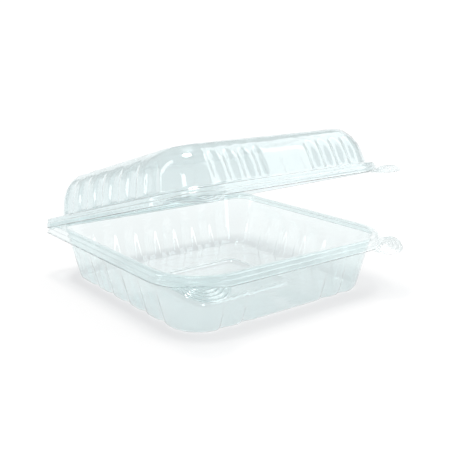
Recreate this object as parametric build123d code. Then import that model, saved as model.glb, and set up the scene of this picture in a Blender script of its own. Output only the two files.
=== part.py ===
import os
from math import atan2, degrees, hypot

from build123d import *

os.makedirs("parts", exist_ok=True)

# Millimetres. +Z is up, the front with the finger tabs faces -Y, the hinge is at the back.
# Z = 0 is the surface the tray stands on. The lid is drawn closed and then swung open.

SHEET = 0.4
CLOSED_GAP = 0.4
REST_ANGLE = 16.5

# Outermost line of the lip; every other outline is given as an inset from it
LIP_HALF_WIDTH = 105.0
LIP_HALF_DEPTH = 101.5
FRONT_CORNER = 43.0
RIM_BACK_CORNER = 12.0
WALL_BACK_CORNER = 34.0

# Rim of the tray: flat lip, ledge, bead
LIP_HEIGHT = 38.0
LEDGE_HEIGHT = 41.8
LEDGE_INSET = 1.3
BEAD_HEIGHT = 45.4
BEAD_INSET = 2.2
BEAD_CHAMFER = 0.5

# Tray wall as (height, inset), from the foot to the bead
TRAY_PROFILE = [(0.0, 19.8), (3.5, 17.4), (BEAD_HEIGHT, 7.2)]
FLOOR_RIB_LENGTH = 96.0
FLOOR_RIB_DEPTH = 84.0
FLOOR_RIB_CORNER = 12.0
FLOOR_RIB_WIDTH = 8.0
FLOOR_RIB_RISE = 1.6

# Lid wall as (height above the top of its rim, inset)
LID_PROFILE = [(0.0, 7.6), (13.0, 10.0), (23.0, 15.5), (29.8, 24.0)]

# Flutes: narrow grooves pressed into the walls
FLUTE_RADIUS = 3.6
FLUTE_STANDOFF = 1.2
FLUTE_SIDES = 6
TRAY_FLUTE_TOP = 40.0
LID_FLUTE_TOP = 26.0
BACK_PITCH = 20.0
TRAY_SIDE_PITCH = 23.5
LID_SIDE_PITCH = 25.0
TRAY_FRONT_PANEL = 38.0
TRAY_FRONT_PITCH = 19.5
LID_FRONT_PANEL = 24.5
LID_FRONT_PITCH = 12.5

# Finger tabs: sloping round tongues with concentric ridges at the two front corners
TAB_SIDE_INSET = 20.7
TAB_FRONT_INSET = 9.0
TAB_HEIGHT = 41.0
TAB_SLOPE = 17.0
TAB_RADIUS = 19.0
TAB_RIDGES = 2
TAB_RIDGE_START = 5.0
TAB_RIDGE_PITCH = 6.0
TAB_RIDGE_HEIGHT = 0.9

# Living hinge along the back edge
HINGE_REACH = 1.0
CREASE_LENGTH = 184.0
CREASE_RADIUS = 0.45
CREASE_GAP = 0.2

# Closed, the lid nests on the tray at this distance both upwards and outwards
NEST = SHEET + CLOSED_GAP
hinge_y = LIP_HALF_DEPTH + HINGE_REACH
hinge_z = LIP_HEIGHT + SHEET + CLOSED_GAP / 2
lid_rim = BEAD_HEIGHT + NEST
tab_x = LIP_HALF_WIDTH - TAB_SIDE_INSET
tab_y = TAB_FRONT_INSET - LIP_HALF_DEPTH


def outline(inset, height, back_corner):
    """Rounded rectangle with its own radius at the hinge side."""
    with BuildSketch(Plane.XY.offset(height)) as sketch:
        Rectangle(2 * (LIP_HALF_WIDTH - inset), 2 * (LIP_HALF_DEPTH - inset))
        fillet(sketch.vertices().group_by(Axis.Y)[0], FRONT_CORNER - inset)
        fillet(sketch.vertices().group_by(Axis.Y)[-1], back_corner - inset)
    return sketch.sketch


def walled_form(profile, low, high, shrink):
    """Solid bounded by one leaning wall for each pair of profile points, all moved in by shrink."""
    form = None
    for (z0, inset0), (z1, inset1) in zip(profile, profile[1:]):
        lean = (inset1 - inset0) / (z1 - z0)
        inset = inset0 + lean * (low - z0) + shrink * hypot(1, lean)
        stage = extrude(
            outline(inset, low, WALL_BACK_CORNER),
            high - low,
            taper=degrees(atan2(lean, 1)),
        )
        form = stage if form is None else form & stage
    return form


def flute(place, foot, top, foot_radius, top_radius):
    """Tapered many-sided groove along a wall; foot and top are (height, inset) of its middle line."""
    along, wall = place
    half = LIP_HALF_DEPTH if wall in ("front", "back") else LIP_HALF_WIDTH
    turn = {"front": 0, "right": 90, "back": 180, "left": 270}[wall]
    start = Vector(along, foot[1] - half, foot[0])
    end = Vector(along, top[1] - half, top[0])
    length = (end - start).length
    section = RegularPolygon(foot_radius, FLUTE_SIDES, major_radius=False, rotation=180 / FLUTE_SIDES)
    groove = extrude(section, length, taper=degrees(atan2(foot_radius - top_radius, length)))
    return (Plane(start, x_dir=(1, 0, 0), z_dir=end - start) * groove).rotate(Axis.Z, turn)


def both_ways(marks):
    return [m for mark in marks for m in sorted({-mark, mark})]


def places(front, side, back):
    listed = [(x, "front") for x in both_ways(front)]
    listed += [(x, "back") for x in both_ways(back)]
    listed += [(y, wall) for y in both_ways(side) for wall in ("left", "right")]
    return listed


BACK_FLUTES = [BACK_PITCH * i for i in range(4)]
TRAY_FLUTES = places(
    [TRAY_FRONT_PANEL + TRAY_FRONT_PITCH * i for i in range(2)],
    [TRAY_SIDE_PITCH * i for i in range(3)],
    BACK_FLUTES,
)
LID_FLUTES = places(
    [LID_FRONT_PANEL + LID_FRONT_PITCH * i for i in range(4)],
    [LID_SIDE_PITCH * (i + 0.5) for i in range(3)],
    BACK_FLUTES,
)


def rim_block(outward, lift, bottom, edge=0.0):
    ledge = extrude(outline(LEDGE_INSET - outward, bottom, RIM_BACK_CORNER), LEDGE_HEIGHT + lift - bottom)
    bead = extrude(outline(BEAD_INSET - outward, bottom, RIM_BACK_CORNER), BEAD_HEIGHT + lift - bottom)
    if edge > 0:
        bead = chamfer(bead.edges().group_by(Axis.Z)[-1], edge)
    return ledge + bead


def tab_profile():
    """Height of the ridged tongue against distance from its middle."""
    points = [(0, 0), (TAB_RIDGE_START, 0)]
    for i in range(TAB_RIDGES):
        points += [
            (TAB_RIDGE_START + (i + 0.5) * TAB_RIDGE_PITCH, TAB_RIDGE_HEIGHT),
            (TAB_RIDGE_START + (i + 1) * TAB_RIDGE_PITCH, 0),
        ]
    return points


def tab_column(side, lift, radius, drop):
    """Upright round column at a front corner; its top is the ridged slope of the tab, lowered by drop."""
    wide = 2 * TAB_RADIUS
    top = [(r, z - drop) for r, z in tab_profile() + [(wide, 0)]]
    slope = revolve(Plane.XZ * make_face(Polyline(*top, (wide, -wide), (0, -wide), close=True)), Axis.Z)
    below_bead = BEAD_HEIGHT - 2 * SHEET - TAB_HEIGHT
    post = Pos(0, 0, below_bead - drop) * Cylinder(radius, wide, align=(Align.CENTER, Align.CENTER, Align.MAX))
    column = (Rot(TAB_SLOPE, 0, 0) * slope) & post
    return Pos(side * tab_x, tab_y, TAB_HEIGHT + lift) * column


def rim(outward, lift):
    """Sheet rim: bead and ledge hollow underneath, a flat lip round them and the two tabs."""
    bottom = LIP_HEIGHT + lift
    radius = TAB_RADIUS + outward
    inside = rim_block(outward - SHEET / 2, lift - SHEET / 2, bottom - TAB_RADIUS)
    shell = extrude(outline(0, bottom, RIM_BACK_CORNER), SHEET) + rim_block(outward, lift, bottom, BEAD_CHAMFER)
    over_lip = extrude(outline(0, bottom, RIM_BACK_CORNER), TAB_RADIUS)
    for side in (-1, 1):
        shell = shell + (tab_column(side, lift, radius, 0) & over_lip)
    shell = shell - rim_block(outward - SHEET, lift - SHEET, bottom - SHEET)
    for side in (-1, 1):
        tab = tab_column(side, lift, radius, 0) - tab_column(side, lift, radius + SHEET, SHEET)
        shell = shell - tab_column(side, lift, radius - SHEET, SHEET) + (tab - inside)
    return shell


def tray_form(shrink, low, high):
    form = walled_form(TRAY_PROFILE, low, high, shrink)
    (z0, inset0), (z1, inset1) = TRAY_PROFILE[1:]
    lean = (inset1 - inset0) / (z1 - z0)
    foot = (-3.0, inset0 + lean * (-3.0 - z0) - FLUTE_STANDOFF)
    top = (TRAY_FLUTE_TOP, inset0 + lean * (TRAY_FLUTE_TOP - z0))
    return form - [flute(p, foot, top, FLUTE_RADIUS + shrink, 0.02 + shrink) for p in TRAY_FLUTES]


def lid_form(shrink, low, high):
    profile = [(lid_rim + z, inset) for z, inset in LID_PROFILE]
    form = walled_form(profile, low, high, shrink)
    foot = (lid_rim - 3.0, profile[0][1] - FLUTE_STANDOFF)
    top = (lid_rim + LID_FLUTE_TOP, profile[2][1] - FLUTE_STANDOFF)
    return form - [flute(p, foot, top, FLUTE_RADIUS + shrink, FLUTE_RADIUS / 2 + shrink) for p in LID_FLUTES]


def floor_rib(shrink, rise):
    """Raised ring that stiffens the floor."""
    outside = RectangleRounded(
        FLOOR_RIB_LENGTH - 2 * shrink, FLOOR_RIB_DEPTH - 2 * shrink, FLOOR_RIB_CORNER - shrink
    )
    inset = 2 * (FLOOR_RIB_WIDTH - shrink)
    inside = RectangleRounded(
        FLOOR_RIB_LENGTH - inset, FLOOR_RIB_DEPTH - inset, FLOOR_RIB_CORNER - inset / 2
    )
    return extrude(outside, rise, taper=45) - extrude(inside, rise, taper=-45)


def along_hinge(section, length):
    return Pos(0, hinge_y, hinge_z) * Rot(0, 90, 0) * extrude(section, length / 2, both=True)


def hinge_strip(bottom):
    strip = Box(CREASE_LENGTH, 2 * HINGE_REACH, SHEET, align=(Align.CENTER, Align.MAX, Align.MIN))
    return Pos(0, hinge_y, bottom) * strip


# Base tray with the crease of the hinge
cavity = tray_form(SHEET, SHEET, BEAD_HEIGHT + 1) - floor_rib(0, FLOOR_RIB_RISE + SHEET)
base = tray_form(0, 0, BEAD_HEIGHT) + rim(0, 0) - cavity - floor_rib(SHEET, FLOOR_RIB_RISE)
base = base + hinge_strip(LIP_HEIGHT) + along_hinge(RegularPolygon(CREASE_RADIUS, 6), CREASE_LENGTH)
base.label = "base_tray"
export_step(base, "parts/base_tray.step")

# Lid
lid_top = lid_rim + LID_PROFILE[-1][0]
hollow = lid_form(SHEET, lid_rim - 2 * SHEET, lid_top - SHEET)
lid = lid_form(0, lid_rim - SHEET, lid_top) + rim(NEST, NEST) - hollow
lid = lid + hinge_strip(LIP_HEIGHT + NEST)
lid = lid - along_hinge(Circle(CREASE_RADIUS + CREASE_GAP), 2 * LIP_HALF_WIDTH)
lid = lid.rotate(Axis((0, hinge_y, hinge_z), (1, 0, 0)), -REST_ANGLE)
lid.label = "lid"
export_step(lid, "parts/lid.step")
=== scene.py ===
import math

import bmesh
import bpy
import numpy as np
from mathutils import Matrix, Vector


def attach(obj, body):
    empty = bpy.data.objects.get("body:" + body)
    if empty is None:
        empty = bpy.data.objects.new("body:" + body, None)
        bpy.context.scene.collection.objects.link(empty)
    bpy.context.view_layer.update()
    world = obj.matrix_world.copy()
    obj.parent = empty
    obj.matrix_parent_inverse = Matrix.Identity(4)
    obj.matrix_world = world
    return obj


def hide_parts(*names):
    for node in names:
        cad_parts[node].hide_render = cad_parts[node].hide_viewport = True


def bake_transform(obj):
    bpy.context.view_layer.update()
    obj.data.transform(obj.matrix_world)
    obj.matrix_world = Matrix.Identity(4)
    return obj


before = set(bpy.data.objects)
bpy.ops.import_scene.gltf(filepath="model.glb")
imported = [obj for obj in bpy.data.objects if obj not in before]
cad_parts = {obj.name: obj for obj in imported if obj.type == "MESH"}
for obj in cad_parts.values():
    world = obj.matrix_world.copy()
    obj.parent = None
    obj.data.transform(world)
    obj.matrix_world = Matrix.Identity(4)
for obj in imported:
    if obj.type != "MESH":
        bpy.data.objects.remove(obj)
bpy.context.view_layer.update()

scene = bpy.context.scene
scene.view_settings.view_transform = "Standard"
sheetCrossings = 96  # a look through lid, tray and back wall crosses many faces
scene.cycles.max_bounces = sheetCrossings
scene.cycles.transmission_bounces = sheetCrossings
scene.cycles.glossy_bounces = sheetCrossings
scene.cycles.transparent_max_bounces = 48
scene.cycles.caustics_reflective = False  # the plastic lets its light through as a pale shade instead
scene.cycles.caustics_refractive = False

mm = 0.001

# Sizes that both halves share, in millimetres and degrees
pack = {
    "halfWidth": 105.0,
    "halfDepth": 101.5,
    "frontCorner": 43.0,
    "rimBackCorner": 12.0,
    "wallBackCorner": 34.0,
    "wallFrom": 17,  # from this point of a rim inwards, the back corners are the wall's
    "frontBend": 31.0,  # radius of the wall's corners halfway up
    "backBend": 22.0,
    "sheet": 0.4,
    "nest": 0.8,  # shut, the lid stands this far above and outside the tray
    "hingeY": 102.5,
    "hingeZ": 38.6,
    "openAngle": 16.5,
    "smoothAngle": 48.0,
}

# Points along each stretch of the ring
columns = {"front": 116, "frontCorner": 60, "side": 114, "backCorner": 36, "back": 126}
stretches = [
    ("front", columns["front"]),
    ("frontRight", columns["frontCorner"]),
    ("right", columns["side"]),
    ("backRight", columns["backCorner"]),
    ("back", columns["back"]),
    ("backLeft", columns["backCorner"]),
    ("left", columns["side"]),
    ("frontLeft", columns["frontCorner"]),
]
columnCount = sum(count for name, count in stretches)


def smoothStep(low, high, x):
    t = np.clip((x - low) / (high - low), 0, 1)
    return t * t * (3 - 2 * t)


def mirrored(marks):
    return sorted({s * m for m in marks for s in (-1, 1)})


def ringPoints(halfX, halfY, frontR, backR, inset):  # rounded outline, counterclockwise, one inset per column
    frontX, frontY = halfX - frontR, halfY - frontR
    backX, backY = halfX - backR, halfY - backR
    turns = {
        "frontRight": (frontX, -frontY, frontR, -90),
        "backRight": (backX, backY, backR, 0),
        "backLeft": (-backX, backY, backR, 90),
        "frontLeft": (-frontX, -frontY, frontR, 180),
    }
    out = []
    at = 0
    for name, count in stretches:
        t = np.arange(count) / count
        d = inset[at:at + count]
        at += count
        if name in turns:
            x, y, r, start = turns[name]
            a = np.radians(start + 90 * t)
            out.append(np.stack([x + (r - d) * np.cos(a), y + (r - d) * np.sin(a)], 1))
        elif name == "front":
            out.append(np.stack([-frontX + 2 * frontX * t, -halfY + d], 1))
        elif name == "right":
            out.append(np.stack([halfX - d, -frontY + (frontY + backY) * t], 1))
        elif name == "back":
            out.append(np.stack([backX - 2 * backX * t, halfY - d], 1))
        else:
            out.append(np.stack([-halfX + d, backY - (frontY + backY) * t], 1))
    return np.concatenate(out)


def packRing(backCorner, inset):  # the pack's own outline, moved in
    return ringPoints(pack["halfWidth"], pack["halfDepth"], pack["frontCorner"], backCorner, inset)


def atHeight(xy, z):
    return np.column_stack([xy, np.full(columnCount, float(z))])


def wallPlaces():  # for each column, its wall and how far along that wall it stands
    frontX = pack["halfWidth"] - pack["frontCorner"]
    frontY = pack["halfDepth"] - pack["frontCorner"]
    backX = pack["halfWidth"] - pack["wallBackCorner"]
    backY = pack["halfDepth"] - pack["wallBackCorner"]
    walls = []
    along = []
    for name, count in stretches:
        bend = pack["frontBend"] if name.startswith("front") else pack["backBend"]
        for i in range(count):
            t = i / count
            gone = bend * (t * math.pi / 2)  # way round the corner so far, and still to go
            left = bend * ((1 - t) * math.pi / 2)
            if name == "front":
                wall, place = "front", -frontX + 2 * frontX * t
            elif name == "frontRight":
                wall, place = ("front", frontX + gone) if t < 0.5 else ("side", -frontY - left)
            elif name == "right":
                wall, place = "side", -frontY + (frontY + backY) * t
            elif name == "backRight":
                wall, place = ("side", backY + gone) if t < 0.5 else ("back", backX + left)
            elif name == "back":
                wall, place = "back", backX - 2 * backX * t
            elif name == "backLeft":
                wall, place = ("back", -backX - gone) if t < 0.5 else ("side", backY + left)
            elif name == "left":
                wall, place = "side", backY - (frontY + backY) * t
            else:
                wall, place = ("side", -frontY - gone) if t < 0.5 else ("front", -frontX - left)
            walls.append(wall)
            along.append(place)
    return walls, np.array(along)


wallOf, placeOf = wallPlaces()


def fluteWaves(flutes, halfWidth, edge):  # 1 across a flute, 0 on the panels between, with soft edges
    wave = np.zeros(columnCount)
    for i, (wall, place) in enumerate(zip(wallOf, placeOf)):
        near = min(abs(place - middle) for middle in flutes[wall])
        wave[i] = 1 - smoothStep(halfWidth[wall] - edge, halfWidth[wall] + edge, near)
    return wave


# Finger tabs at the two front corners, in millimetres and degrees
tab = {
    "x": 84.3,
    "y": -92.5,
    "height": 41.0,
    "slope": 17.0,
    "runOut": (-98.0, -82.0),  # between these the slope turns level with the lip, towards the sides
    "radius": 19.0,
    "ridges": [7.6, 11.0, 14.4],  # distances from the middle of the tab
    "ridgeHalf": 1.7,
    "ridgeHeight": 0.8,
    "ridgeFade": (1.2, 3.0),  # how far out of the lip the ridges rise
    "edgeBead": 0.6,
    "edgeIn": 0.9,  # from the tray tab's edge to the bead, in half widths of the bead
    "edgeFade": (0.4, 2.2),
    "lipBead": 0.6,
    "beadHalf": 1.2,
    "lipOverlap": 0.15,  # the tab grows out of the lip
    "endTrim": 0.015,  # angle left off at both ends of the fan
    "rimTop": 44.7,  # heights on the tray between which the rim is squeezed where a tab crosses it
    "rimLip": 38.4,
    "crossFade": (-1.5, 2.0),  # the squeeze ends about the tab's edge
    "leastDrop": 0.25,
    "fanColumns": 64,
    "fanRows": 60,
}


def tabPlane(y, lift):
    rise = tab["height"] - tab["rimLip"] + (y - tab["y"]) * math.tan(math.radians(tab["slope"]))
    return tab["rimLip"] + lift + rise * (1 - smoothStep(*tab["runOut"], y))


def overTab(points, lift, outward):  # the rim's skirt rises to the slope of the tab
    x, y, z = points.T
    r = np.hypot(np.abs(x) - tab["x"], y - tab["y"])
    edge = tab["radius"] + outward
    weight = 1 - smoothStep(edge + tab["crossFade"][0], edge + tab["crossFade"][1], r)
    top = tab["rimTop"] + lift
    low = tab["rimLip"] + lift
    share = np.clip((top - z) / (top - low), 0, None)
    raised = top - share * (top - np.minimum(tabPlane(y, lift), top - tab["leastDrop"]))
    points[:, 2] = np.where(z < top, z + weight * (raised - z), z)
    return points


def swell(away, half):  # a round ridge, 1 on its middle line and 0 from half its width outwards
    return np.cos(np.clip(away / half, -1, 1) * math.pi / 2) ** 2


def flipFaces(obj):
    bpy.ops.object.select_all(action="DESELECT")
    obj.select_set(True)
    bpy.context.view_layer.objects.active = obj
    bpy.ops.object.mode_set(mode="EDIT")
    bpy.ops.mesh.select_all(action="SELECT")
    bpy.ops.mesh.flip_normals()
    bpy.ops.object.mode_set(mode="OBJECT")


def tabFan(side, lift, outward, shape):  # a grid bent into the ridged half disc that stands out of the lip
    radius = tab["radius"] + outward
    cornerX = pack["halfWidth"] - pack["frontCorner"]
    cornerY = pack["frontCorner"] - pack["halfDepth"]
    corner = pack["frontCorner"] - tab["lipOverlap"]
    away = math.hypot(tab["x"] - cornerX, tab["y"] - cornerY)
    middle = math.atan2(tab["y"] - cornerY, tab["x"] - cornerX)
    cosEnd = (corner ** 2 - away ** 2 - radius ** 2) / (2 * away * radius)
    reach = math.acos(cosEnd) - tab["endTrim"]
    across, out = tab["fanColumns"], tab["fanRows"]
    bpy.ops.object.select_all(action="DESELECT")
    bpy.ops.mesh.primitive_grid_add(x_subdivisions=across, y_subdivisions=out, size=2)
    obj = bpy.context.object
    grid = np.empty((across + 1) * (out + 1) * 3)
    obj.data.vertices.foreach_get("co", grid)
    u = grid.reshape(-1, 3)[:, 0]
    v = (grid.reshape(-1, 3)[:, 1] + 1) / 2
    a = middle + side * u * reach
    turn = a - middle
    inner = -away * np.cos(turn) + np.sqrt(np.maximum(corner ** 2 - (away * np.sin(turn)) ** 2, 0))
    r = np.clip(inner, 0, radius) * (1 - v) + radius * v
    x = tab["x"] + r * np.cos(a)
    y = tab["y"] + r * np.sin(a)
    beyond = np.hypot(x - cornerX, y - cornerY) - corner
    bead = tab["beadHalf"]
    ridge = sum(swell(r - m, tab["ridgeHalf"]) for m in tab["ridges"]) * smoothStep(*tab["ridgeFade"], beyond)
    edge = swell(r - tab["radius"] + tab["edgeIn"] * bead, bead) * smoothStep(*tab["edgeFade"], beyond)
    z = tabPlane(y, lift) + tab["ridgeHeight"] * ridge + tab["edgeBead"] * edge
    z += tab["lipBead"] * swell(beyond - bead, bead)
    places = shape(np.stack([side * x, y, z], 1)) * mm
    obj.data.vertices.foreach_set("co", places.ravel())
    obj.data.update()
    if sum(face.normal.z for face in obj.data.polygons) < 0:
        flipFaces(obj)
    return obj


def extrudeRings(name, rows, middle):  # a disc on the outer edge, extruded ring by ring towards the middle
    startRadius = 0.1
    bpy.ops.object.select_all(action="DESELECT")
    bpy.ops.mesh.primitive_circle_add(vertices=columnCount, radius=startRadius, fill_type="TRIFAN")
    obj = bpy.context.object
    obj.name = name
    bpy.ops.object.mode_set(mode="EDIT")
    mesh = bmesh.from_edit_mesh(obj.data)
    mesh.verts.layers.int.new("column")
    tag = mesh.verts.layers.int["column"]
    around = [v for v in mesh.verts if v.co.length > startRadius / 2]
    around.sort(key=lambda v: math.atan2(v.co.y, v.co.x))
    for v in mesh.verts:
        v[tag] = -1  # the middle of the disc
    for i, v in enumerate(around):
        v[tag] = i
    bpy.ops.mesh.select_all(action="SELECT")
    for i, row in enumerate(rows):
        if i:
            bpy.ops.mesh.extrude_region_move()
        mesh = bmesh.from_edit_mesh(obj.data)
        tag = mesh.verts.layers.int["column"]
        places = row * mm
        for v in mesh.verts:
            if v.select:
                v.co = places[v[tag]] if v[tag] >= 0 else Vector(middle) * mm
        bmesh.update_edit_mesh(obj.data)
    bpy.ops.mesh.select_all(action="DESELECT")
    mesh = bmesh.from_edit_mesh(obj.data)
    tag = mesh.verts.layers.int["column"]
    rim = {tuple(place) for place in np.round(rows[0] * mm, 6).tolist()}
    for v in mesh.verts:  # the disc that the first extrude leaves behind across the opening
        if v[tag] < 0 and tuple(round(c, 6) for c in v.link_edges[0].other_vert(v).co) in rim:
            v.select_set(True)
    bpy.ops.mesh.delete(type="VERT")
    bpy.ops.mesh.select_all(action="SELECT")
    bpy.ops.mesh.normals_make_consistent(inside=False)
    bpy.ops.object.mode_set(mode="OBJECT")
    return obj


def thicken(obj, thickness, offset):  # the active piece becomes a sheet with two faces, and is smoothed
    wall = obj.modifiers.new("wall", "SOLIDIFY")
    wall.thickness = thickness * mm
    wall.offset = offset
    bpy.ops.object.modifier_apply(modifier=wall.name)
    bpy.ops.object.shade_smooth_by_angle(angle=math.radians(pack["smoothAngle"]))


def finishSheet(obj, tabs, middle):  # turn the faces up, join the tabs, give the sheet its thickness
    cap = min(obj.data.polygons, key=lambda face: (face.center - Vector(middle) * mm).length)
    if cap.normal.z < 0:
        flipFaces(obj)
    bpy.ops.object.select_all(action="DESELECT")
    for piece in tabs:
        piece.select_set(True)
    obj.select_set(True)
    bpy.context.view_layer.objects.active = obj
    bpy.ops.object.join()
    thicken(obj, pack["sheet"], -1)
    return obj


# Base tray; lines are (height, inset from the lip's edge)
tray = {
    "rim": [
        (38.4, 0.0), (38.4, 0.3), (38.4, 0.8), (38.52, 1.1), (38.9, 1.26), (39.8, 1.3), (40.9, 1.34),
        (41.5, 1.5), (41.78, 1.74), (41.88, 1.96), (42.05, 2.12), (42.5, 2.2), (43.5, 2.24), (44.4, 2.42),
        (45.0, 2.84), (45.32, 3.5), (45.4, 4.5), (45.4, 6.3), (45.22, 7.05), (44.8, 7.55), (44.0, 7.95),
    ],
    "wallLine": [(3.5, 17.4), (45.4, 7.2)],  # outside of the wall
    "wallIn": 0.41,  # from the outside to the inside, level
    "wallHeights": [42, 40, 37.5, 35, 32, 29, 26, 23, 20, 17, 14, 11.5, 9, 7, 5.4, 4.2],
    "foot": [(3.3, 17.95), (2.4, 18.45), (1.5, 19.1), (0.8, 19.95), (0.45, 21.0), (0.4, 22.6)],
    "footFlutes": [1.0, 1.0, 0.95, 0.8, 0.5, 0.2],  # share of the flute's depth at each foot point
    "fluteDepth": 2.4,
    "fluteFade": (41.0, -8.0),  # heights between which the flutes deepen
    "flutes": {
        "front": mirrored([38.0, 57.5]),
        "side": mirrored([0, 23.5, 47.0]),
        "back": mirrored([0, 20, 40, 60]),
    },
    "fluteHalf": {"front": 4.4, "side": 5.0, "back": 4.6},
    "fluteEdge": 2.6,
    "floor": 0.4,
    "floorSteps": [0.3, 0.65, 0.94],  # from the foot to the raised ring
    "rib": (48.0, 42.0, 12.0),  # half length, half depth and corner of the raised ring
    "ribWidth": 8.0,
    "ribRise": 1.6,
    "ribSlope": 2.4,
    "ribSteps": [0, 0.8, 1.5, 2.3, 4.0, 5.7, 6.5, 7.2, 8.0],
    "middleSteps": [0.9, 0.55, 0.2],
}


def trayRows():
    wave = fluteWaves(tray["flutes"], tray["fluteHalf"], tray["fluteEdge"])
    even = np.zeros(columnCount)
    rows = []
    for i, (z, inset) in enumerate(tray["rim"]):
        corner = pack["rimBackCorner"] if i < pack["wallFrom"] else pack["wallBackCorner"]
        rows.append(overTab(atHeight(packRing(corner, even + inset), z), 0, 0))
    (lowZ, lowInset), (highZ, highInset) = tray["wallLine"]
    for z in tray["wallHeights"]:
        inset = lowInset - (z - lowZ) * (lowInset - highInset) / (highZ - lowZ) + tray["wallIn"]
        depth = tray["fluteDepth"] * smoothStep(*tray["fluteFade"], z)
        rows.append(atHeight(packRing(pack["wallBackCorner"], inset + depth * wave), z))
    for (z, inset), share in zip(tray["foot"], tray["footFlutes"]):
        depth = tray["fluteDepth"] * share
        rows.append(atHeight(packRing(pack["wallBackCorner"], inset + depth * wave), z))
    footXY = packRing(pack["wallBackCorner"], even + tray["foot"][-1][1])
    ribX, ribY, ribCorner = tray["rib"]
    ribXY = ringPoints(ribX, ribY, ribCorner, ribCorner, even)
    for t in tray["floorSteps"]:
        rows.append(atHeight(footXY * (1 - t) + ribXY * t, tray["floor"]))
    for inset in tray["ribSteps"]:
        ribXY = ringPoints(ribX, ribY, ribCorner, ribCorner, even + inset)
        up = tray["ribRise"] * smoothStep(0, tray["ribSlope"], min(inset, tray["ribWidth"] - inset))
        rows.append(atHeight(ribXY, tray["floor"] + up))
    for scale in tray["middleSteps"]:
        rows.append(atHeight(ribXY * scale, tray["floor"]))
    return rows


print("tray: extruding", columnCount, "columns")
trayMiddle = (0, 0, tray["floor"])
trayObj = extrudeRings("clearTray", trayRows(), trayMiddle)
trayTabs = [tabFan(side, 0, 0, lambda points: points) for side in (-1, 1)]
trayObj = finishSheet(trayObj, trayTabs, trayMiddle)
print("tray:", len(trayObj.data.polygons), "faces")


# Lid, drawn shut and swung open about the hinge; lines are (height, inset from the lip's edge)
lid = {
    "rim": [
        (39.2, 0.0), (39.2, 0.1), (39.2, 0.22), (39.3, 0.38), (39.6, 0.48), (40.6, 0.5), (41.7, 0.54),
        (42.3, 0.7), (42.58, 0.94), (42.68, 1.16), (42.85, 1.32), (43.3, 1.4), (44.3, 1.44), (45.2, 1.62),
        (45.8, 2.04), (46.12, 2.7), (46.2, 3.8), (46.2, 5.9), (46.34, 6.75), (46.8, 7.3), (47.5, 7.7),
    ],
    "rimTop": 46.2,
    "rimFlutes": [0, 0.25, 0.55, 0.8],  # share of the flute's depth at the last rim points
    "dome": [  # heights here and below are above the top of the rim
        (0, 7.45), (6.5, 8.75), (13, 10.25), (18.5, 12.7), (23, 15.8),
        (26.4, 19.3), (28.5, 22.2), (29.4, 24.2), (29.75, 26.0), (29.8, 28.2),
    ],
    "domeHeights": [
        2.4, 3.8, 5.4, 7.2, 9, 11, 13, 15, 17, 19, 20.8,
        22.4, 23.8, 25.2, 26.4, 27.5, 28.5, 29.1, 29.5, 29.72, 29.8,
    ],
    "fluteDepth": [(0, 1.1), (5, 1.5), (10, 1.8), (15, 1.7), (19, 1.2), (22.5, 0.5), (25.5, 0.0), (31, 0.0)],
    "flutes": {
        "front": mirrored([24.5, 37.0, 49.5, 62.0]),
        "side": mirrored([12.5, 37.5, 62.5]),
        "back": mirrored([0, 20, 40, 60]),
    },
    "fluteHalf": {"front": 3.1, "side": 6.2, "back": 5.0},
    "fluteEdge": 2.6,
    "middleSteps": [0.86, 0.6, 0.3, 0.1],
}


def swungOpen(points):
    a = math.radians(pack["openAngle"])
    dy = points[:, 1] - pack["hingeY"]
    dz = points[:, 2] - pack["hingeZ"]
    y = pack["hingeY"] + dy * math.cos(a) + dz * math.sin(a)
    z = pack["hingeZ"] - dy * math.sin(a) + dz * math.cos(a)
    return np.column_stack([points[:, 0], y, z])


def smoothCurve(table, at):  # a smooth line through the table's points
    xs, ys = np.array(table, float).T
    slope = np.gradient(ys, xs)
    i = int(np.clip(np.searchsorted(xs, at) - 1, 0, len(xs) - 2))
    h = xs[i + 1] - xs[i]
    t = (at - xs[i]) / h
    start = (2 * t ** 3 - 3 * t ** 2 + 1) * ys[i] + (t ** 3 - 2 * t ** 2 + t) * h * slope[i]
    end = (3 * t ** 2 - 2 * t ** 3) * ys[i + 1] + (t ** 3 - t ** 2) * h * slope[i + 1]
    return float(start + end)


def lidRows():
    wave = fluteWaves(lid["flutes"], lid["fluteHalf"], lid["fluteEdge"])
    rows = []
    for i, (z, inset) in enumerate(lid["rim"]):
        corner = pack["rimBackCorner"] if i < pack["wallFrom"] else pack["wallBackCorner"]
        depth = lid["rimFlutes"][max(0, i - pack["wallFrom"])] * lid["fluteDepth"][0][1]
        ring = atHeight(packRing(corner, inset + depth * wave), z)
        rows.append(overTab(ring, pack["nest"], pack["nest"]))
    for height in lid["domeHeights"]:
        depth = max(0.0, smoothCurve(lid["fluteDepth"], height))
        xy = packRing(pack["wallBackCorner"], smoothCurve(lid["dome"], height) + depth * wave)
        rows.append(atHeight(xy, lid["rimTop"] + height))
    for scale in lid["middleSteps"]:
        rows.append(atHeight(xy * scale, lid["rimTop"] + lid["domeHeights"][-1]))
    return [swungOpen(row) for row in rows]


lidMiddle = tuple(swungOpen(np.array([[0.0, 0.0, lid["rimTop"] + lid["domeHeights"][-1]]]))[0])
lidObj = extrudeRings("clearLid", lidRows(), lidMiddle)
lidTabs = [tabFan(side, pack["nest"], pack["nest"], swungOpen) for side in (-1, 1)]
lidObj = finishSheet(lidObj, lidTabs, lidMiddle)
print("lid:", len(lidObj.data.polygons), "faces")


# Folded web of the living hinge
hinge = {
    "halfLength": 92.0,
    "fold": 0.42,  # radius of the fold
    "foldFlat": 0.8,  # its depth against its height
    "foldIn": 0.1,  # from the hinge line to the middle of the fold
    "leaf": (1.5, 0.7),  # where each leaf starts and ends in front of the hinge line
    "leafRise": 0.4,  # from the hinge line to each leaf
    "thickness": 0.3,
    "turns": 12,
    "lengthCuts": 60,
}


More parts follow.
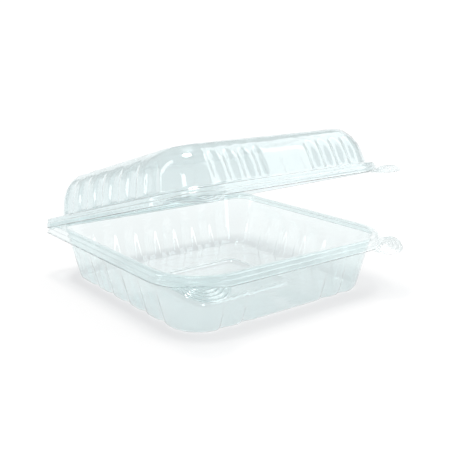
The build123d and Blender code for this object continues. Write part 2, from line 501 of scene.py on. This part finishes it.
def hingeWeb():
    y0, z0 = pack["hingeY"], pack["hingeZ"]
    far, near = hinge["leaf"]
    rise = hinge["leafRise"]
    line = [(y0 - far, z0 - rise), (y0 - near, z0 - rise)]
    bend = math.pi - math.radians(pack["openAngle"])
    for i in range(hinge["turns"] + 1):  # round the fold from the tray's lip to the lid's
        a = -math.pi / 2 + bend * i / hinge["turns"]
        y = y0 - hinge["foldIn"] + hinge["foldFlat"] * hinge["fold"] * math.cos(a)
        line.append((y, z0 + hinge["fold"] * math.sin(a)))
    upper = swungOpen(np.array([[0, y0 - near, z0 + rise], [0, y0 - far, z0 + rise]]))
    line = np.array(line + [(p[1], p[2]) for p in upper])
    last = len(line) - 1
    bpy.ops.object.select_all(action="DESELECT")
    bpy.ops.mesh.primitive_grid_add(x_subdivisions=hinge["lengthCuts"], y_subdivisions=last, size=2)
    obj = bpy.context.object
    obj.name = "hingeWeb"
    for v in obj.data.vertices:
        y, z = line[int(round((v.co.y + 1) / 2 * last))]
        v.co = (v.co.x * hinge["halfLength"] * mm, y * mm, z * mm)
    thicken(obj, hinge["thickness"], 0)
    return obj


hingeObj = hingeWeb()
print("hinge:", len(hingeObj.data.polygons), "faces")


# Clear plastic: how the drawn sheet varies; scales are in waves per metre
drawn = {
    "tintScale": 22.0,
    "waveScale": 55.0,
    "waveTwist": 0.6,
    "fineScale": 420.0,
    "fineShare": 0.12,
    "rippleDepth": 0.0012,  # metres
    "bend": 1.52,  # index of refraction
}
looks = {  # tint where thick and where thin, roughness from and to, strength of the ripple
    "clearTrayPlastic": ((0.866, 0.926, 0.928), (0.888, 0.937, 0.939), 0.02, 0.08, 0.2),
    "clearLidPlastic": ((0.82, 0.88, 0.886), (0.84, 0.895, 0.90), 0.02, 0.07, 0.2),
    "creasedPlastic": ((0.88, 0.92, 0.92), (0.93, 0.95, 0.95), 0.2, 0.4, 0.1),
}
# What a face leaves of the light that falls straight through it, and along it
shade = {"straight": (0.975, 0.982, 0.985), "along": (0.66, 0.68, 0.70)}


def noiseNode(n, scale, detail):
    node = n.new("ShaderNodeTexNoise")
    node.inputs["Scale"].default_value = scale
    node.inputs["Detail"].default_value = detail
    return node


def sheetGroup():  # drawn-sheet waviness, uneven gloss and tint, shared by the clear materials
    group = bpy.data.node_groups.new("drawnSheet", "ShaderNodeTree")
    for name, kind, side in (
        ("Tint", "NodeSocketColor", "INPUT"),
        ("Thin Tint", "NodeSocketColor", "INPUT"),
        ("Gloss Low", "NodeSocketFloat", "INPUT"),
        ("Gloss High", "NodeSocketFloat", "INPUT"),
        ("Colour", "NodeSocketColor", "OUTPUT"),
        ("Roughness", "NodeSocketFloat", "OUTPUT"),
        ("Height", "NodeSocketFloat", "OUTPUT"),
    ):
        group.interface.new_socket(name=name, in_out=side, socket_type=kind)
    n, link = group.nodes, group.links.new
    given = n.new("NodeGroupInput")
    out = n.new("NodeGroupOutput")
    place = n.new("ShaderNodeTexCoord")
    thick = noiseNode(n, drawn["tintScale"], 2.0)
    waves = noiseNode(n, drawn["waveScale"], 3.0)
    waves.inputs["Distortion"].default_value = drawn["waveTwist"]
    fine = noiseNode(n, drawn["fineScale"], 2.0)
    tint = n.new("ShaderNodeMix")
    tint.data_type = "RGBA"
    gloss = n.new("ShaderNodeMapRange")
    both = n.new("ShaderNodeMath")
    both.operation = "MULTIPLY_ADD"
    both.inputs[1].default_value = drawn["fineShare"]
    for node in (thick, waves, fine):
        link(place.outputs["Object"], node.inputs["Vector"])
    link(thick.outputs["Fac"], tint.inputs["Factor"])
    link(given.outputs["Tint"], tint.inputs["A"])
    link(given.outputs["Thin Tint"], tint.inputs["B"])
    link(fine.outputs["Fac"], gloss.inputs["Value"])
    link(given.outputs["Gloss Low"], gloss.inputs["To Min"])
    link(given.outputs["Gloss High"], gloss.inputs["To Max"])
    link(fine.outputs["Fac"], both.inputs[0])
    link(waves.outputs["Fac"], both.inputs[2])
    link(tint.outputs["Result"], out.inputs["Colour"])
    link(gloss.outputs["Result"], out.inputs["Roughness"])
    link(both.outputs["Value"], out.inputs["Height"])
    return group


drawnSheet = sheetGroup()


def emptyMaterial(name):
    mat = bpy.data.materials.new(name)
    mat.use_nodes = True
    mat.node_tree.nodes.clear()
    return mat, mat.node_tree.nodes, mat.node_tree.links.new


def clearPlastic(name):
    tint, thinTint, glossLow, glossHigh, bump = looks[name]
    mat, n, link = emptyMaterial(name)
    effect = n.new("ShaderNodeGroup")
    effect.node_tree = drawnSheet
    effect.inputs["Tint"].default_value = (*tint, 1)
    effect.inputs["Thin Tint"].default_value = (*thinTint, 1)
    effect.inputs["Gloss Low"].default_value = glossLow
    effect.inputs["Gloss High"].default_value = glossHigh
    plastic = n.new("ShaderNodeBsdfPrincipled")
    plastic.inputs["IOR"].default_value = drawn["bend"]
    plastic.inputs["Transmission Weight"].default_value = 1.0
    ripple = n.new("ShaderNodeBump")
    ripple.inputs["Strength"].default_value = bump
    ripple.inputs["Distance"].default_value = drawn["rippleDepth"]
    link(effect.outputs["Colour"], plastic.inputs["Base Color"])
    link(effect.outputs["Roughness"], plastic.inputs["Roughness"])
    link(effect.outputs["Height"], ripple.inputs["Height"])
    link(ripple.outputs["Normal"], plastic.inputs["Normal"])
    path = n.new("ShaderNodeLightPath")  # shadow rays pass through, so the shade on the floor is pale
    slant = n.new("ShaderNodeLayerWeight")
    slant.inputs["Blend"].default_value = 0.5
    left = n.new("ShaderNodeMix")
    left.data_type = "RGBA"
    left.inputs["A"].default_value = (*shade["straight"], 1)
    left.inputs["B"].default_value = (*shade["along"], 1)
    link(slant.outputs["Facing"], left.inputs["Factor"])
    veil = n.new("ShaderNodeBsdfTransparent")
    link(left.outputs["Result"], veil.inputs["Color"])
    mix = n.new("ShaderNodeMixShader")
    out = n.new("ShaderNodeOutputMaterial")
    link(path.outputs["Is Shadow Ray"], mix.inputs["Fac"])
    link(plastic.outputs["BSDF"], mix.inputs[1])
    link(veil.outputs["BSDF"], mix.inputs[2])
    link(mix.outputs["Shader"], out.inputs["Surface"])
    return mat


trayPlastic = clearPlastic("clearTrayPlastic")
lidPlastic = clearPlastic("clearLidPlastic")
creasePlastic = clearPlastic("creasedPlastic")

for obj, mat, body in (
    (trayObj, trayPlastic, "tray"),
    (lidObj, lidPlastic, "lid"),
    (hingeObj, creasePlastic, None),
):
    obj.data.materials.clear()
    obj.data.materials.append(mat)
    if body:
        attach(obj, body)
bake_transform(hingeObj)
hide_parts("base_tray")
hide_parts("lid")
print("materials set")


# Studio, in metres
studio = {
    "floorSize": 40.0,
    "floorDrop": 0.0004,  # the floor lies this far under the tray
    "white": 1.10,  # floor and backdrop as seen, where no shadow falls
    "floorAlbedo": 0.22,
    "shadeReach": (0.17, 0.32),  # the floor catches shade this far from the pack's middle
    "worldGrey": 0.5,
    "backdrop": (2.4, 3.2, 1.6),  # distance behind the pack, width, height
    "cove": (2.9, 0.5),  # low white wall all round: radius, height
    "coveSides": 96,
    "lamps": [  # name, place, aim, width, height, watts
        ("overheadSoftbox", (-0.12, 0.06, 1.25), (0, 0, 0.04), 0.24, 0.24, 22.0),
        ("leftSoftbox", (-1.02, 0.41, 0.60), (0, 0, 0.06), 0.22, 1.5, 3.2),
        ("frontRightSoftbox", (0.85, -0.68, 1.00), (0, 0, 0.08), 1.0, 1.2, 7.4),
        ("rightSoftbox", (0.90, 0.02, 1.05), (0, 0, 0.10), 0.75, 0.75, 2.5),
        ("cornerStrip", (-0.85, -0.62, 0.62), (0, 0, 0.08), 0.18, 0.4, 0.9),
        ("lowFrontCard", (0.12, -1.20, 0.25), (0, 0, 0.03), 0.30, 0.30, 0.8),
    ],
}

# Camera, from the vanishing lines of the photograph
view = {
    "place": (-0.34031, -0.44507, 0.19366),
    "azimuth": -37.92,
    "elevation": 14.65,
    "roll": 0.25,
    "lens": 57.97,
    "sensor": 36,
}


def floorLight():  # what the lamps and the air give the floor under the pack, as radiance
    total = studio["worldGrey"]
    for name, place, aim, width, height, watts in studio["lamps"]:
        reach = Vector(place)
        total += watts * reach.z / reach.length ** 3 / math.pi ** 2
    return studio["floorAlbedo"] * total


def seenWhite(n, link, level):  # a glow for the rays that see the white background
    path = n.new("ShaderNodeLightPath")
    last = path.outputs["Is Camera Ray"]
    for name in ("Is Glossy Ray", "Is Transmission Ray"):
        most = n.new("ShaderNodeMath")
        most.operation = "MAXIMUM"
        link(last, most.inputs[0])
        link(path.outputs[name], most.inputs[1])
        last = most.outputs["Value"]
    seen = n.new("ShaderNodeMath")
    seen.operation = "MULTIPLY"
    link(last, seen.inputs[0])
    link(level, seen.inputs[1])
    glow = n.new("ShaderNodeEmission")
    link(seen.outputs["Value"], glow.inputs["Strength"])
    return glow.outputs["Emission"]


def floorMaterial():  # matte near the pack, for its shade, and plain white further out
    mat, n, link = emptyMaterial("paleFloor")
    place = n.new("ShaderNodeTexCoord")
    away = n.new("ShaderNodeVectorMath")
    away.operation = "LENGTH"
    link(place.outputs["Object"], away.inputs[0])
    near = n.new("ShaderNodeMapRange")
    near.interpolation_type = "SMOOTHSTEP"
    near.inputs["From Min"].default_value = studio["shadeReach"][0]
    near.inputs["From Max"].default_value = studio["shadeReach"][1]
    near.inputs["To Min"].default_value = 1.0
    near.inputs["To Max"].default_value = 0.0
    link(away.outputs["Value"], near.inputs["Value"])
    colour = n.new("ShaderNodeMix")
    colour.data_type = "RGBA"
    colour.inputs["A"].default_value = (0, 0, 0, 1)
    colour.inputs["B"].default_value = (studio["floorAlbedo"],) * 3 + (1,)
    link(near.outputs["Result"], colour.inputs["Factor"])
    matte = n.new("ShaderNodeBsdfDiffuse")
    link(colour.outputs["Result"], matte.inputs["Color"])
    level = n.new("ShaderNodeMapRange")
    level.inputs["To Min"].default_value = studio["white"]
    level.inputs["To Max"].default_value = studio["white"] - floorLight()
    link(near.outputs["Result"], level.inputs["Value"])
    both = n.new("ShaderNodeAddShader")
    out = n.new("ShaderNodeOutputMaterial")
    link(matte.outputs["BSDF"], both.inputs[0])
    link(seenWhite(n, link, level.outputs["Result"]), both.inputs[1])
    link(both.outputs["Shader"], out.inputs["Surface"])
    return mat


def backdropMaterial():
    mat, n, link = emptyMaterial("whiteBackdrop")
    level = n.new("ShaderNodeValue")
    level.outputs["Value"].default_value = studio["white"]
    out = n.new("ShaderNodeOutputMaterial")
    link(seenWhite(n, link, level.outputs["Value"]), out.inputs["Surface"])
    return mat


bpy.ops.object.select_all(action="DESELECT")
bpy.ops.mesh.primitive_plane_add(size=studio["floorSize"], location=(0, 0, -studio["floorDrop"]))
floor = bpy.context.object
floor.name = "paleFloor"
floor.data.materials.append(floorMaterial())

whiteWall = backdropMaterial()
away, width, height = studio["backdrop"]
ahead = math.radians(view["azimuth"])
bpy.ops.object.select_all(action="DESELECT")
bpy.ops.mesh.primitive_plane_add(
    size=1,
    location=(-away * math.sin(ahead), away * math.cos(ahead), height / 2),
    rotation=(math.pi / 2, 0, ahead),
)
backdrop = bpy.context.object
backdrop.name = "whiteBackdrop"
backdrop.scale = (width, height, 1)
backdrop.data.materials.append(whiteWall)

radius, height = studio["cove"]
bpy.ops.object.select_all(action="DESELECT")
bpy.ops.mesh.primitive_cylinder_add(
    vertices=studio["coveSides"],
    radius=radius,
    depth=height,
    end_fill_type="NOTHING",
    location=(0, 0, height / 2),
)
cove = bpy.context.object
cove.name = "whiteCove"
cove.data.materials.append(whiteWall)

world = bpy.data.worlds.new("studio")
scene.world = world
world.use_nodes = True
air = world.node_tree.nodes["Background"]
air.inputs["Color"].default_value = (1, 1, 1, 1)
air.inputs["Strength"].default_value = studio["worldGrey"]

for name, place, aim, width, height, watts in studio["lamps"]:
    lamp = bpy.data.lights.new(name, "AREA")
    lamp.shape = "RECTANGLE"
    lamp.size = width
    lamp.size_y = height
    lamp.energy = watts
    holder = bpy.data.objects.new(name, lamp)
    scene.collection.objects.link(holder)
    holder.location = place
    holder.rotation_euler = (Vector(aim) - Vector(place)).to_track_quat("-Z", "Y").to_euler()

az, el, roll = (math.radians(view[k]) for k in ("azimuth", "elevation", "roll"))
back = Vector((math.sin(az) * math.cos(el), -math.cos(az) * math.cos(el), math.sin(el)))
level = Vector((math.cos(az), math.sin(az), 0))
upright = back.cross(level)
right = level * math.cos(roll) + upright * math.sin(roll)
up = upright * math.cos(roll) - level * math.sin(roll)
lensData = bpy.data.cameras.new("photoView")
lensData.lens = view["lens"]
lensData.sensor_width = view["sensor"]
camera = bpy.data.objects.new("photoView", lensData)
scene.collection.objects.link(camera)
turn = Matrix((right, up, back)).transposed().to_4x4()
camera.matrix_world = Matrix.Translation(view["place"]) @ turn
scene.camera = camera
print("studio set")
